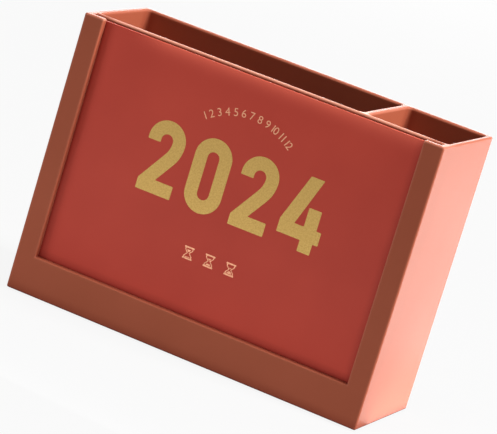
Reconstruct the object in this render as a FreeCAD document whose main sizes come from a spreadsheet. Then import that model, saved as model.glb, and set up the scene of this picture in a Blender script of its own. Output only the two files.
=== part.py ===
"""Desk calendar with pen compartments and a drawer, as separate pieces.

Millimetres. +Z is up, the card window faces -Y and the drawer opens towards -X. The origin is
the middle of the footprint, on the surface that the feet stand on.
"""

import FreeCAD, Part

import os

import Sketcher

doc = FreeCAD.newDocument("desk_calendar")


# ---------------------------------------------------------------- driving dimensions

sheet = doc.addObject("Spreadsheet::Sheet", "sizes")

DRIVING_SIZES = {
    # the moulded box
    "box_width": 210.0,
    "box_depth": 76.0,
    "box_height": 154.5,
    "wall": 3.0,
    "outer_round": 1.0,
    "rim_round": 1.4,
    # the U-shaped frame in front of the cards
    "frame_thickness": 3.2,
    "frame_side_band": 11.6,
    "frame_foot_band": 21.2,
    # the two pen compartments behind the card slot
    "inner_wall": 3.0,
    "cross_wall": 3.8,
    "short_pocket_length": 45.0,
    "pocket_floor": 2.5,
    "pocket_round": 2.5,
    # the base plate with its drawer rails
    "base_thickness": 3.0,
    "base_play": 0.15,
    "runner_height": 1.0,
    "runner_width": 3.0,
    "guide_height": 7.0,
    "guide_thickness": 2.0,
    # the corner posts and the screws in them
    "post_length": 8.0,
    "post_width": 7.0,
    "screw_shank_radius": 1.25,
    "screw_head_radius": 2.5,
    "screw_length": 9.0,
    "screw_play": 0.1,
    "screw_sink": 0.2,
    "cross_recess_width": 0.7,
    "cross_recess_length": 2.8,
    "cross_recess_depth": 0.8,
    # the rubber feet
    "foot_radius": 6.0,
    "foot_seat": 1.0,
    "foot_standout": 1.0,
    "foot_play": 0.2,
    "foot_inset": 14.0,
    "foot_round": 0.4,
    # the drawer
    "drawer_height": 34.0,
    "drawer_front": 3.0,
    "drawer_wall": 2.0,
    "drawer_floor": 2.0,
    "drawer_play": 0.4,
    "drawer_back_gap": 0.6,
    "drawer_inner_round": 2.0,
    "drawer_edge_round": 0.4,
    "drawer_travel": 145.0,
    "stop_tab_height": 2.0,
    "stop_tab_length": 6.0,
    "notch_radius": 8.5,
    # the cards
    "card_side_play": 0.5,
    "card_front_play": 0.3,
    "card_back_play": 0.5,
    "card_corner_round": 2.5,
    "title_card_thickness": 1.0,
    "title_card_drop": 1.0,
    "month_card_thickness": 0.3,
    "month_card_drop": 2.5,
    "card_air": 0.05,
}

MONTHS = 12

SAME_PLACE = 1e-4  # two coordinates this near to each other are the same
LEAST_CUT = 0.1  # a pocket that takes away less than this volume has missed

for row, (alias, value) in enumerate(DRIVING_SIZES.items(), start=1):
    sheet.set(f"A{row}", alias)
    sheet.set(f"B{row}", str(value))
    sheet.setAlias(f"B{row}", alias)
doc.recompute()


def size(alias):
    """The expression that reads one driving dimension."""
    return f"sizes.{alias}"


# ---------------------------------------------------------------- places worked out from them

side_inner = f"({size('box_width')} / 2 - {size('wall')})"
front_face = f"(-{size('box_depth')} / 2)"
slot_front = f"({front_face} + {size('frame_thickness')})"

title_card_front = f"({slot_front} + {size('card_front_play')})"
title_card_back = f"({title_card_front} + {size('title_card_thickness')})"
month_card_pitch = f"({size('month_card_thickness')} + {size('card_air')})"
month_cards_back = f"({title_card_back} + {MONTHS} * {month_card_pitch})"
card_half_width = f"({side_inner} - {size('card_side_play')})"

slot_back = f"({month_cards_back} + {size('card_back_play')})"
bay_front = f"({slot_back} + {size('inner_wall')})"
bay_back = f"({size('box_depth')} / 2 - {size('wall')})"
bay_middle = f"(({bay_front} + {bay_back}) / 2)"

box_foot = size("foot_standout")
box_top = f"({box_foot} + {size('box_height')})"
base_top = f"({box_foot} + {size('base_thickness')})"
drawer_bottom = f"({base_top} + {size('runner_height')})"
drawer_top = f"({drawer_bottom} + {size('drawer_height')})"
bay_ceiling = f"({drawer_top} + {size('stop_tab_height')} + {size('drawer_play')})"
pocket_bottom = f"({bay_ceiling} + {size('pocket_floor')})"

cross_wall_right = f"({side_inner} - {size('short_pocket_length')})"
cross_wall_left = f"({cross_wall_right} - {size('cross_wall')})"

opening_half = f"(({bay_back} - {bay_front}) / 2 - {size('post_width')})"
drawer_half = f"({opening_half} - {size('drawer_play')})"
drawer_back = f"({side_inner} - {size('drawer_back_gap')})"

post_inner_x = f"({side_inner} - {size('post_length')})"
post_middle_x = f"({side_inner} - {size('post_length')} / 2)"
front_post_y = f"({bay_front} + {size('post_width')} / 2)"
back_post_y = f"({bay_back} - {size('post_width')} / 2)"
screw_places = [
    (f"({sign_x} * {post_middle_x})", post_y)
    for sign_x in (-1, 1)
    for post_y in (front_post_y, back_post_y)
]

foot_x = f"({side_inner} - {size('foot_inset')} - {size('foot_radius')})"
foot_front_y = f"({front_face} + {size('foot_inset')})"
foot_back_y = f"({size('box_depth')} / 2 - {size('foot_inset')})"


def number(expression):
    """The present value of an expression, in millimetres."""
    return float(sheet.evalExpression(expression))


# ---------------------------------------------------------------- helpers for bodies

def make_body(name):
    body = doc.addObject("PartDesign::Body", name)
    body.Label = name
    return body


def make_sketch(body, plane_role, name, offset):
    """A sketch on one of the body's origin planes, moved along the plane's normal."""
    sketch = body.newObject("Sketcher::SketchObject", name)
    plane = [p for p in body.Origin.OriginFeatures if p.Role == plane_role][0]
    sketch.AttachmentSupport = [(plane, "")]
    sketch.MapMode = "FlatFace"
    sketch.setExpression("AttachmentOffset.Base.z", offset)
    return sketch


def hold_at(sketch, geometry, point, x, y, name):
    """Ties one point of a sketch to two expressions, measured from the sketch's origin."""
    for kind, expression, axis in (("DistanceX", x, "x"), ("DistanceY", y, "y")):
        constraint = Sketcher.Constraint(kind, -1, 1, geometry, point, number(expression))
        index = sketch.addConstraint(constraint)
        sketch.renameConstraint(index, f"{name}_{axis}")
        sketch.setExpression(f"Constraints.{name}_{axis}", expression)


def add_rectangle(sketch, left, right, low, high):
    """A rectangle whose sides lie at four expressions."""
    x0, x1, y0, y1 = (number(e) for e in (left, right, low, high))
    corners = [(x0, y0), (x1, y0), (x1, y1), (x0, y1)]
    points = [FreeCAD.Vector(x, y, 0) for x, y in corners]
    first = sketch.GeometryCount
    for i in range(4):
        sketch.addGeometry(Part.LineSegment(points[i], points[(i + 1) % 4]), False)
    for i in range(4):
        joined = Sketcher.Constraint("Coincident", first + i, 2, first + (i + 1) % 4, 1)
        sketch.addConstraint(joined)
        direction = "Horizontal" if i % 2 == 0 else "Vertical"
        sketch.addConstraint(Sketcher.Constraint(direction, first + i))
    hold_at(sketch, first, 1, left, low, f"near{first}")
    hold_at(sketch, first + 2, 1, right, high, f"far{first}")


def add_circle(sketch, x, y, radius):
    """A circle with its centre and radius at three expressions."""
    middle = FreeCAD.Vector(number(x), number(y), 0)
    normal = FreeCAD.Vector(0, 0, 1)
    index = sketch.addGeometry(Part.Circle(middle, normal, number(radius)), False)
    hold_at(sketch, index, 3, x, y, f"centre{index}")
    constraint = Sketcher.Constraint("Radius", index, number(radius))
    sketch.renameConstraint(sketch.addConstraint(constraint), f"radius{index}")
    sketch.setExpression(f"Constraints.radius{index}", radius)


def pad(body, sketch, name, length):
    feature = body.newObject("PartDesign::Pad", name)
    feature.Profile = sketch
    feature.setExpression("Length", length)
    doc.recompute()
    return feature


def pocket(body, sketch, name, length, along_normal=False):
    """Cuts a sketch's outline out of the body, and makes sure that something was cut."""
    before = body.Shape.Volume
    feature = body.newObject("PartDesign::Pocket", name)
    feature.Profile = sketch
    feature.Reversed = along_normal
    feature.setExpression("Length", length)
    doc.recompute()
    if body.Shape.Volume > before - LEAST_CUT:
        raise ValueError(f"{body.Label}: {name} cuts nothing")
    return feature


def near(a, b):
    return abs(a - b) < SAME_PLACE


def edges_where(shape, test):
    """The names of the edges whose bounding box passes a test."""
    return [f"Edge{i}" for i, e in enumerate(shape.Edges, 1) if test(e.BoundBox, e)]


def soften(body, kind, name, test, amount):
    """Rounds or chamfers the edges of the body's tip that pass a test."""
    base = body.Tip
    edges = edges_where(base.Shape, test)
    if not edges:
        raise ValueError(f"{body.Label}: {name} finds no edge")
    feature = body.newObject(f"PartDesign::{kind}", name)
    feature.Base = (base, edges)
    feature.setExpression("Radius" if kind == "Fillet" else "Size", amount)
    doc.recompute()
    return feature


# ---------------------------------------------------------------- the moulded box

def make_box_body():
    """Outer walls, window frame, card slot, two compartments and the drawer bay, in one."""
    body = make_body("box_body")
    half_width = f"({size('box_width')} / 2)"
    half_depth = f"({size('box_depth')} / 2)"

    block = make_sketch(body, "XY_Plane", "block_outline", box_foot)
    add_rectangle(block, f"(-{half_width})", half_width, front_face, half_depth)
    pad(body, block, "block", size("box_height"))

    slot = make_sketch(body, "XY_Plane", "slot_outline", box_top)
    add_rectangle(slot, f"(-{side_inner})", side_inner, slot_front, slot_back)
    pocket(body, slot, "card_slot", size("box_height"))

    pocket_depth = f"({box_top} - {pocket_bottom})"
    ends = {
        "long": (f"(-{side_inner})", cross_wall_left),
        "short": (cross_wall_right, side_inner),
    }
    for name, (left, right) in ends.items():
        outline = make_sketch(body, "XY_Plane", f"{name}_pocket_outline", box_top)
        add_rectangle(outline, left, right, bay_front, bay_back)
        pocket(body, outline, f"{name}_pocket", pocket_depth)
    round_pocket_corners(body, number(bay_front), number(bay_back))

    bay = make_sketch(body, "XY_Plane", "bay_outline", box_foot)
    add_rectangle(bay, f"(-{side_inner})", side_inner, bay_front, bay_back)
    pocket(body, bay, "drawer_bay", f"({bay_ceiling} - {box_foot})", along_normal=True)

    recess = make_sketch(body, "XY_Plane", "base_recess_outline", box_foot)
    add_rectangle(recess, f"(-{side_inner})", side_inner, slot_front, bay_back)
    pocket(body, recess, "base_recess", size("base_thickness"), along_normal=True)

    posts = make_sketch(body, "XY_Plane", "post_outlines", base_top)
    front_rows = (bay_front, f"({bay_front} + {size('post_width')})")
    back_rows = (f"({bay_back} - {size('post_width')})", bay_back)
    for low, high in (front_rows, back_rows):
        add_rectangle(posts, f"(-{side_inner})", f"(-{post_inner_x})", low, high)
        add_rectangle(posts, post_inner_x, side_inner, low, high)
    pad(body, posts, "corner_posts", f"({bay_ceiling} - {base_top})")

    pilots = make_sketch(body, "XY_Plane", "pilot_hole_outlines", base_top)
    pilot_radius = f"({size('screw_shank_radius')} + {size('screw_play')})"
    for x, y in screw_places:
        add_circle(pilots, x, y, pilot_radius)
    pocket(body, pilots, "pilot_holes", size("screw_length"), along_normal=True)

    opening = make_sketch(body, "YZ_Plane", "drawer_opening_outline", f"(-{half_width})")
    add_rectangle(
        opening,
        f"({bay_middle} - {opening_half})",
        f"({bay_middle} + {opening_half})",
        f"({drawer_bottom} - {size('drawer_play')})",
        f"({drawer_top} + {size('drawer_play')})",
    )
    pocket(body, opening, "drawer_opening", size("wall"), along_normal=True)

    window = make_sketch(body, "XZ_Plane", "window_outline", half_depth)
    window_half = f"({half_width} - {size('frame_side_band')})"
    window_foot = f"({box_foot} + {size('frame_foot_band')})"
    add_rectangle(window, f"(-{window_half})", window_half, window_foot, box_top)
    pocket(body, window, "card_window", size("frame_thickness"))

    round_box_edges(body, number(half_width), number(half_depth), number(window_half))
    return body


def round_pocket_corners(body, bay_front_y, bay_back_y):
    """Rounds the upright corners of the two compartments, which makes them easy to wipe out."""

    def corner(box, _edge):
        upright = near(box.XMin, box.XMax) and near(box.YMin, box.YMax)
        return upright and (near(box.YMin, bay_front_y) or near(box.YMin, bay_back_y))

    soften(body, "Fillet", "pocket_rounds", corner, size("pocket_round"))


def round_box_edges(body, half_width, half_depth, window_half):
    """Rounds the outside of the box, the window's front edge and the rims of its hollows."""
    top, foot = number(box_top), number(box_foot)

    def outside(box, _edge):
        on_side = near(abs(box.XMin), half_width) and near(box.XMin, box.XMax)
        on_face = near(abs(box.YMin), half_depth) and near(box.YMin, box.YMax)
        at_end = near(box.ZMin, box.ZMax) and (near(box.ZMin, top) or near(box.ZMin, foot))
        upright = on_side and on_face
        return upright or (at_end and (on_side or on_face))

    def window_edge(box, _edge):
        on_front = near(box.YMax, -half_depth)
        reach = window_half + SAME_PLACE
        inside = box.XMax < reach and box.XMin > -reach
        top_corner = near(box.ZMin, top) and near(abs(box.XMin), window_half)
        return (on_front and inside) or (top_corner and near(box.XMin, box.XMax))

    front_of_slot = number(slot_front)
    half_wall = number(size("wall")) / 2

    def rim(box, _edge):
        at_top = near(box.ZMin, top) and near(box.ZMax, top)
        inside = abs(box.XMin) < half_width - half_wall and box.YMax < half_depth - half_wall
        return at_top and inside and box.YMin > front_of_slot + SAME_PLACE

    def outer(box, edge):
        return outside(box, edge) or window_edge(box, edge)

    soften(body, "Fillet", "outer_rounds", outer, size("outer_round"))
    soften(body, "Fillet", "rim_rounds", rim, size("rim_round"))


# ---------------------------------------------------------------- the base plate

def make_base_plate():
    """Closes the box from below, with two rails for the drawer."""
    body = make_body("base_plate")
    plate_half = f"({side_inner} - {size('base_play')})"

    outline = make_sketch(body, "XY_Plane", "plate_outline", box_foot)
    plate_front = f"({slot_front} + {size('base_play')})"
    plate_back = f"({bay_back} - {size('base_play')})"
    add_rectangle(outline, f"(-{plate_half})", plate_half, plate_front, plate_back)
    pad(body, outline, "plate", size("base_thickness"))

    guide_end = f"({post_inner_x} - {size('base_play')})"
    for side, sign in (("front", "-1"), ("back", "1")):
        runner = make_sketch(body, "XY_Plane", f"{side}_runner_outline", base_top)
        runner_edges = [
            f"({bay_middle} + {sign} * {drawer_half})",
            f"({bay_middle} + {sign} * ({drawer_half} - {size('runner_width')}))",
        ]
        low, high = sorted(runner_edges, key=number)
        add_rectangle(runner, f"(-{plate_half})", plate_half, low, high)
        pad(body, runner, f"{side}_runner", size("runner_height"))

        guide = make_sketch(body, "XY_Plane", f"{side}_guide_outline", base_top)
        guide_edges = [
            f"({bay_middle} + {sign} * {opening_half})",
            f"({bay_middle} + {sign} * ({opening_half} + {size('guide_thickness')}))",
        ]
        low, high = sorted(guide_edges, key=number)
        add_rectangle(guide, f"(-{guide_end})", guide_end, low, high)
        pad(body, guide, f"{side}_guide", size("guide_height"))

    holes = make_sketch(body, "XY_Plane", "screw_hole_outlines", box_foot)
    hole_radius = f"({size('screw_shank_radius')} + {size('screw_play')})"
    for x, y in screw_places:
        add_circle(holes, x, y, hole_radius)
    pocket(body, holes, "screw_holes", size("base_thickness"), along_normal=True)

    foot_level = number(box_foot)

    def hole_mouth(box, edge):
        return near(box.ZMax, foot_level) and isinstance(edge.Curve, Part.Circle)

    head_rise = f"({size('screw_head_radius')} - {size('screw_shank_radius')})"
    countersink = f"({head_rise} + {size('screw_sink')})"
    soften(body, "Chamfer", "countersinks", hole_mouth, countersink)

    seats = make_sketch(body, "XY_Plane", "foot_seat_outlines", box_foot)
    seat_radius = f"({size('foot_radius')} + {size('foot_play')})"
    for x, y in foot_places().values():
        add_circle(seats, x, y, seat_radius)
    pocket(body, seats, "foot_seats", size("foot_seat"), along_normal=True)
    return body


# ---------------------------------------------------------------- screws and feet

def place(item, x, y, z):
    """Ties an object's position to three expressions."""
    for axis, expression in zip("xyz", (x, y, z)):
        item.setExpression(f"Placement.Base.{axis}", expression)


def make_screw(index, x, y):
    """A countersunk self-tapping screw, head down, with a cross recess."""
    head_foot = f"({box_foot} + {size('screw_sink')})"
    head_height = f"({size('screw_head_radius')} - {size('screw_shank_radius')})"

    head = doc.addObject("Part::Cone", f"screw_head_{index}")
    head.setExpression("Radius1", size("screw_head_radius"))
    head.setExpression("Radius2", size("screw_shank_radius"))
    head.setExpression("Height", head_height)
    place(head, x, y, head_foot)

    shank = doc.addObject("Part::Cylinder", f"screw_shank_{index}")
    shank.setExpression("Radius", size("screw_shank_radius"))
    shank.setExpression("Height", f"({size('screw_length')} - {head_height})")
    place(shank, x, y, f"({head_foot} + {head_height})")

    whole = doc.addObject("Part::Fuse", f"screw_blank_{index}")
    whole.Base = head
    whole.Tool = shank

    bars = []
    lengths = (size("cross_recess_length"), size("cross_recess_width"))
    for name, long_x, long_y in (("x", *lengths), ("y", *reversed(lengths))):
        bar = doc.addObject("Part::Box", f"recess_bar_{name}_{index}")
        bar.setExpression("Length", long_x)
        bar.setExpression("Width", long_y)
        bar.setExpression("Height", size("cross_recess_depth"))
        place(bar, f"({x} - {long_x} / 2)", f"({y} - {long_y} / 2)", head_foot)
        bars.append(bar)
    cross = doc.addObject("Part::Fuse", f"recess_{index}")
    cross.Base, cross.Tool = bars

    screw = doc.addObject("Part::Cut", f"screw_{index}")
    screw.Base = whole
    screw.Tool = cross
    return screw


def make_base_screws():
    group = doc.addObject("Part::Compound", "base_screws")
    group.Label = "base_screws"
    group.Links = [make_screw(i, x, y) for i, (x, y) in enumerate(screw_places, 1)]
    return group


def foot_places():
    return {
        "foot_front_left": (f"(-{foot_x})", foot_front_y),
        "foot_front_right": (foot_x, foot_front_y),
        "foot_back_left": (f"(-{foot_x})", foot_back_y),
        "foot_back_right": (foot_x, foot_back_y),
    }


def make_foot(name, x, y):
    """A round rubber pad, rounded where it stands."""
    body = make_body(name)
    outline = make_sketch(body, "XY_Plane", f"{name}_outline", "0")
    add_circle(outline, "0", "0", size("foot_radius"))
    pad(body, outline, f"{name}_pad", f"({size('foot_standout')} + {size('foot_seat')})")

    def standing_edge(box, _edge):
        return near(box.ZMax, 0)

    soften(body, "Fillet", f"{name}_round", standing_edge, size("foot_round"))
    place(body, x, y, "0")
    return body


# ---------------------------------------------------------------- the drawer

def make_drawer():
    """A tray whose front panel lies flush in the left wall, with two stop tabs on its rim."""
    body = make_body("drawer")
    outer_face = f"(-{size('box_width')} / 2)"
    front_side = f"({bay_middle} - {drawer_half})"
    back_side = f"({bay_middle} + {drawer_half})"

    outline = make_sketch(body, "XY_Plane", "drawer_outline", drawer_bottom)
    add_rectangle(outline, outer_face, drawer_back, front_side, back_side)
    pad(body, outline, "drawer_block", size("drawer_height"))

    hollow = make_sketch(body, "XY_Plane", "drawer_hollow_outline", drawer_top)
    add_rectangle(
        hollow,
        f"({outer_face} + {size('drawer_front')})",
        f"({drawer_back} - {size('drawer_wall')})",
        f"({front_side} + {size('drawer_wall')})",
        f"({back_side} - {size('drawer_wall')})",
    )
    hollow_depth = f"({size('drawer_height')} - {size('drawer_floor')})"
    pocket(body, hollow, "drawer_hollow", hollow_depth)

    inner_x = (
        number(f"({outer_face} + {size('drawer_front')})"),
        number(f"({drawer_back} - {size('drawer_wall')})"),
    )
    floor_level = number(f"({drawer_bottom} + {size('drawer_floor')})")

    def inner_corner(box, _edge):
        upright = near(box.XMin, box.XMax) and near(box.YMin, box.YMax)
        return upright and any(near(box.XMin, x) for x in inner_x)

    def floor_corner(box, _edge):
        return near(box.ZMax, floor_level) and near(box.ZMin, floor_level)

    def inner(box, edge):
        return inner_corner(box, edge) or floor_corner(box, edge)

    soften(body, "Fillet", "drawer_inner_rounds", inner, size("drawer_inner_round"))

    notch = make_sketch(body, "YZ_Plane", "notch_outline", outer_face)
    add_circle(notch, bay_middle, drawer_top, size("notch_radius"))
    pocket(body, notch, "finger_notch", size("drawer_front"), along_normal=True)

    face_x = number(outer_face)

    def face_edge(box, _edge):
        return near(box.XMin, face_x) and near(box.XMax, face_x)

    soften(body, "Fillet", "drawer_face_round", face_edge, size("drawer_edge_round"))

    tabs = make_sketch(body, "XY_Plane", "stop_tab_outlines", drawer_top)
    tab_front = f"({size('drawer_travel')} + {size('drawer_play')} - {side_inner})"
    tab_back = f"({tab_front} + {size('stop_tab_length')})"
    inside_front = f"({front_side} + {size('drawer_wall')})"
    inside_back = f"({back_side} - {size('drawer_wall')})"
    for low, high in ((front_side, inside_front), (inside_back, back_side)):
        add_rectangle(tabs, tab_front, tab_back, low, high)
    pad(body, tabs, "stop_tabs", size("stop_tab_height"))
    return body


# ---------------------------------------------------------------- the cards

def make_card(name, front, thickness, drop):
    """A card that stands on the base plate, with its top a little under the box's rim."""
    body = make_body(name)
    outline = make_sketch(body, "XZ_Plane", f"{name}_outline", f"(-{front})")
    card_top = f"({box_top} - {size(drop)})"
    add_rectangle(outline, f"(-{card_half_width})", card_half_width, base_top, card_top)
    feature = pad(body, outline, f"{name}_sheet", size(thickness))
    feature.Reversed = True
    doc.recompute()

    def corner(box, _edge):
        return near(box.XMin, box.XMax) and near(box.ZMin, box.ZMax)

    soften(body, "Fillet", f"{name}_corners", corner, size("card_corner_round"))
    return body


def make_cards():
    cards = [
        make_card("title_card", title_card_front, "title_card_thickness", "title_card_drop")
    ]
    for month in range(1, MONTHS + 1):
        air = f"{size('card_air')} + {month - 1} * {month_card_pitch}"
        front = f"({title_card_back} + {air})"
        name = f"month_card_{month:02d}"
        cards.append(make_card(name, front, "month_card_thickness", "month_card_drop"))
    return cards


# ---------------------------------------------------------------- build, check and write

def main():
    pieces = [make_box_body(), make_base_plate(), make_base_screws()]
    pieces += [make_foot(name, x, y) for name, (x, y) in foot_places().items()]
    pieces += [make_drawer()]
    pieces += make_cards()
    doc.recompute()

    for item in doc.Objects:
        failed = [word for word in item.State if word in ("Invalid", "Error")]
        if failed:
            raise RuntimeError(f"{item.Label} is {failed[0]}")
    for piece in pieces:
        if piece.Shape.isNull() or not piece.Shape.isValid():
            raise RuntimeError(f"{piece.Label} has no valid shape")

    os.makedirs("parts", exist_ok=True)
    for piece in pieces:
        piece.Shape.exportStep(f"parts/{piece.Label}.step")
        box = piece.Shape.BoundBox
        solids = len(piece.Shape.Solids)
        print(
            f"{piece.Label}: {solids} solid(s), {piece.Shape.Volume / 1000:.2f} cm3,"
            f" x {box.XMin:.2f}..{box.XMax:.2f} y {box.YMin:.2f}..{box.YMax:.2f}"
            f" z {box.ZMin:.2f}..{box.ZMax:.2f}"
        )


main()
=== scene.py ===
# %% [markdown]
# # A desk calendar in a moulded box
# The box, its drawer, feet and screws come from the CAD frame, and they stay as they are. What is
# made here is what the CAD leaves out: the finish of every surface, the detailed front card with
# its foil print, and the print on the twelve month cards. Everything is in metres, in the frame's
# own axes: +Z is up, the card window faces -Y and the drawer opens towards -X.

import calendar
import math

import bmesh
import bpy
from mathutils import Matrix, Quaternion, Vector


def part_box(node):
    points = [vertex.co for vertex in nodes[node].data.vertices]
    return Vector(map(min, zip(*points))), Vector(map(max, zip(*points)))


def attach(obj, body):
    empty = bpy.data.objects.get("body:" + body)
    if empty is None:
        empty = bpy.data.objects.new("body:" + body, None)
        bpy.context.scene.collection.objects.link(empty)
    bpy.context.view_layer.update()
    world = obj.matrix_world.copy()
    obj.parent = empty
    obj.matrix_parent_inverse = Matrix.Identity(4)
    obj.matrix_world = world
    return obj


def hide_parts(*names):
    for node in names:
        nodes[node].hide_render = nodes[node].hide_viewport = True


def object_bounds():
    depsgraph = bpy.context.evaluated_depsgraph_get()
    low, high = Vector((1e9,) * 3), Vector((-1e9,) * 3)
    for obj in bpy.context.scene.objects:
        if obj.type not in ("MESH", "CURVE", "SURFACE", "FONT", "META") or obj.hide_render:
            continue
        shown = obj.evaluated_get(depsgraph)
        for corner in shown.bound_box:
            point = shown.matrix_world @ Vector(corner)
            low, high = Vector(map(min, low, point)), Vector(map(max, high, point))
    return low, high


MM = 0.001

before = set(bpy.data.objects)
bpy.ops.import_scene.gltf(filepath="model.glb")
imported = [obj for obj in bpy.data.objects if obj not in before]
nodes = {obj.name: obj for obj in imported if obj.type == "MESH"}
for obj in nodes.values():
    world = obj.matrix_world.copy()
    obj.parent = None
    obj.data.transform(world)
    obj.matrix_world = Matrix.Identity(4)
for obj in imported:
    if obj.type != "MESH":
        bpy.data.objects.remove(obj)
cad_low, cad_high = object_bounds()
print(len(nodes), "CAD nodes, size in mm:", [round(s / MM, 1) for s in cad_high - cad_low])

# %% [markdown]
# ## Camera
# A long lens far away keeps the box's edges nearly parallel, as in a product picture. Placing the
# camera by what it looks at, its azimuth and its elevation is easier to read than a matrix. The
# picture is also turned about the line of sight, so that the box leans over in the frame.

# %% Camera
CAMERA_AIM = Vector((1.5 * MM, 0.0, 76.2 * MM))
CAMERA_DISTANCE = 1.699
CAMERA_AZIMUTH, CAMERA_ELEVATION, CAMERA_ROLL = 20.267, 12.505, 16.973  # degrees
LENS, SENSOR_WIDTH = 232.87, 36.0  # millimetres


def direction_from(azimuth, elevation):
    """The unit vector towards a point at an azimuth from -Y and a height above the horizon."""
    a, e = math.radians(azimuth), math.radians(elevation)
    return Vector((math.sin(a) * math.cos(e), -math.cos(a) * math.cos(e), math.sin(e)))


camera_data = bpy.data.cameras.new("camera")
camera_data.lens = LENS
camera_data.sensor_width = SENSOR_WIDTH
camera = bpy.data.objects.new("camera", camera_data)
bpy.context.scene.collection.objects.link(camera)
bpy.context.scene.camera = camera

towards_camera = direction_from(CAMERA_AZIMUTH, CAMERA_ELEVATION)
level_view = (-towards_camera).to_track_quat("-Z", "Y")
camera.location = CAMERA_AIM + towards_camera * CAMERA_DISTANCE
camera.rotation_mode = "QUATERNION"
camera.rotation_quaternion = level_view @ Quaternion((0, 0, 1), math.radians(CAMERA_ROLL))
print("camera at", [round(c, 3) for c in camera.location])

# %% [markdown]
# ## Shader building blocks
# A material here is a short chain of nodes. Nodes can be added by hand in the editor, but a script
# that spells out each link soon hides the idea. So one helper feeds a socket, whether it takes a
# number or a link, and the others add a node with its inputs filled in. A node group can be placed
# in many materials, each time with its own numbers, so an effect is only built once.

# %% Sockets
def feed(tree, socket, value):
    """Gives a socket its value: another node's output is linked, a number or a colour is set."""
    if isinstance(value, bpy.types.NodeSocket):
        tree.links.new(value, socket)
    else:
        socket.default_value = value


def fill(tree, node, **inputs):
    """Feeds a node's inputs by their names, with _ for a space."""
    for name, value in inputs.items():
        feed(tree, node.inputs[name.replace("_", " ")], value)


# %% Nodes
MIX_FACTOR, MIX_FIRST, MIX_SECOND, MIX_RESULT = 0, 6, 7, 2  # the Mix node's sockets for colours


def add_node(tree, kind, **inputs):
    """Adds a node and fills it."""
    node = tree.nodes.new(kind)
    fill(tree, node, **inputs)
    return node


def add_math(tree, operation, *values, clamp=False):
    """A Math node on one to three values. Returns its output."""
    node = tree.nodes.new("ShaderNodeMath")
    node.operation = operation
    node.use_clamp = clamp
    for socket, value in zip(node.inputs, values):
        feed(tree, socket, value)
    return node.outputs[0]


def add_mix(tree, factor, first, second):
    """A colour mix. Returns the mixed colour."""
    node = tree.nodes.new("ShaderNodeMix")
    node.data_type = "RGBA"
    for place, value in ((MIX_FACTOR, factor), (MIX_FIRST, first), (MIX_SECOND, second)):
        feed(tree, node.inputs[place], value)
    return node.outputs[MIX_RESULT]


def add_ramp(tree, value, start, end, first=0.0, last=1.0, soft=False):
    """Goes from first to last as the value goes from start to end. Returns its output."""
    node = add_node(tree, "ShaderNodeMapRange", Value=value, From_Min=start, From_Max=end)
    fill(tree, node, To_Min=first, To_Max=last)
    node.interpolation_type = "SMOOTHSTEP" if soft else "LINEAR"
    return node.outputs[0]


def object_place(tree):
    """Where a point is on the object, in the frame's own axes."""
    return tree.nodes.new("ShaderNodeTexCoord").outputs["Object"]


# %% Groups
FLOAT, COLOUR = "NodeSocketFloat", "NodeSocketColor"


def start_group(name, inputs, outputs):
    """A node group with the given inputs {name: (socket type, default)} and outputs {name: type}."""
    group = bpy.data.node_groups.new(name, "ShaderNodeTree")
    for label, (kind, default) in inputs.items():
        socket = group.interface.new_socket(label, in_out="INPUT", socket_type=kind)
        socket.default_value = default
    for label, kind in outputs.items():
        group.interface.new_socket(label, in_out="OUTPUT", socket_type=kind)
    entry = group.nodes.new("NodeGroupInput")
    leave = group.nodes.new("NodeGroupOutput")
    return group, entry.outputs, leave.inputs


def place_group(tree, group, **inputs):
    """Puts a node group in a material, with its own numbers. Returns its outputs."""
    node = tree.nodes.new("ShaderNodeGroup")
    node.node_tree = group
    fill(tree, node, **inputs)
    return node.outputs


# %% [markdown]
# ## Effects as node groups
# Six groups cover this object. *Fine grain* is the tooth of a moulded or coated surface, two
# sizes of noise added together. *Slow mottle* drifts between two near colours, because no real
# sheet or moulding is one even colour. *Edge shine* finds edges so they can be painted lighter,
# partly as wear where hands rub and partly as a painted highlight: the Bevel node bends the normal
# near an edge, and how far it has turned from the true normal is the mask. *Top highlight* fades
# down from a top edge, a painted highlight where a rim or a rolled top catches the light. *Corner
# shade* is its opposite, painted shade in the corners and gaps that less light reaches: the
# Ambient Occlusion node measures how much lies close in front of a point. *Paper fibre* is noise
# stretched along one axis. Masks painted by hand would look as good, but these need no unwrapping
# and fit any shape.

# %% Fine grain
def make_fine_grain():
    inputs = {"Scale": (FLOAT, 2000.0), "Coarse": (FLOAT, 0.35)}
    group, given, result = start_group("fine_grain", inputs, {"Height": FLOAT})
    place = object_place(group)
    fine = add_node(group, "ShaderNodeTexNoise", Vector=place, Scale=given["Scale"], Detail=2.0)
    coarse_scale = add_math(group, "MULTIPLY", given["Scale"], given["Coarse"])
    coarse = add_node(group, "ShaderNodeTexNoise", Vector=place, Scale=coarse_scale, Detail=1.0)
    total = add_math(group, "ADD", fine.outputs[0], coarse.outputs[0])
    feed(group, result["Height"], add_math(group, "MULTIPLY", total, 0.5))
    return group


fine_grain = make_fine_grain()
print("fine grain:", len(fine_grain.nodes), "nodes")

# %% Slow mottle
def make_slow_mottle():
    inputs = {
        "Dark": (COLOUR, (0.4, 0.4, 0.4, 1)),
        "Light": (COLOUR, (0.6, 0.6, 0.6, 1)),
        "Scale": (FLOAT, 30.0),
    }
    group, given, result = start_group("slow_mottle", inputs, {"Color": COLOUR, "Mask": FLOAT})
    place = object_place(group)
    noise = add_node(group, "ShaderNodeTexNoise", Vector=place, Scale=given["Scale"], Detail=3.0)
    mask = add_ramp(group, noise.outputs[0], 0.3, 0.7)
    feed(group, result["Color"], add_mix(group, mask, given["Dark"], given["Light"]))
    feed(group, result["Mask"], mask)
    return group


slow_mottle = make_slow_mottle()
print("slow mottle:", len(slow_mottle.nodes), "nodes")

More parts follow.
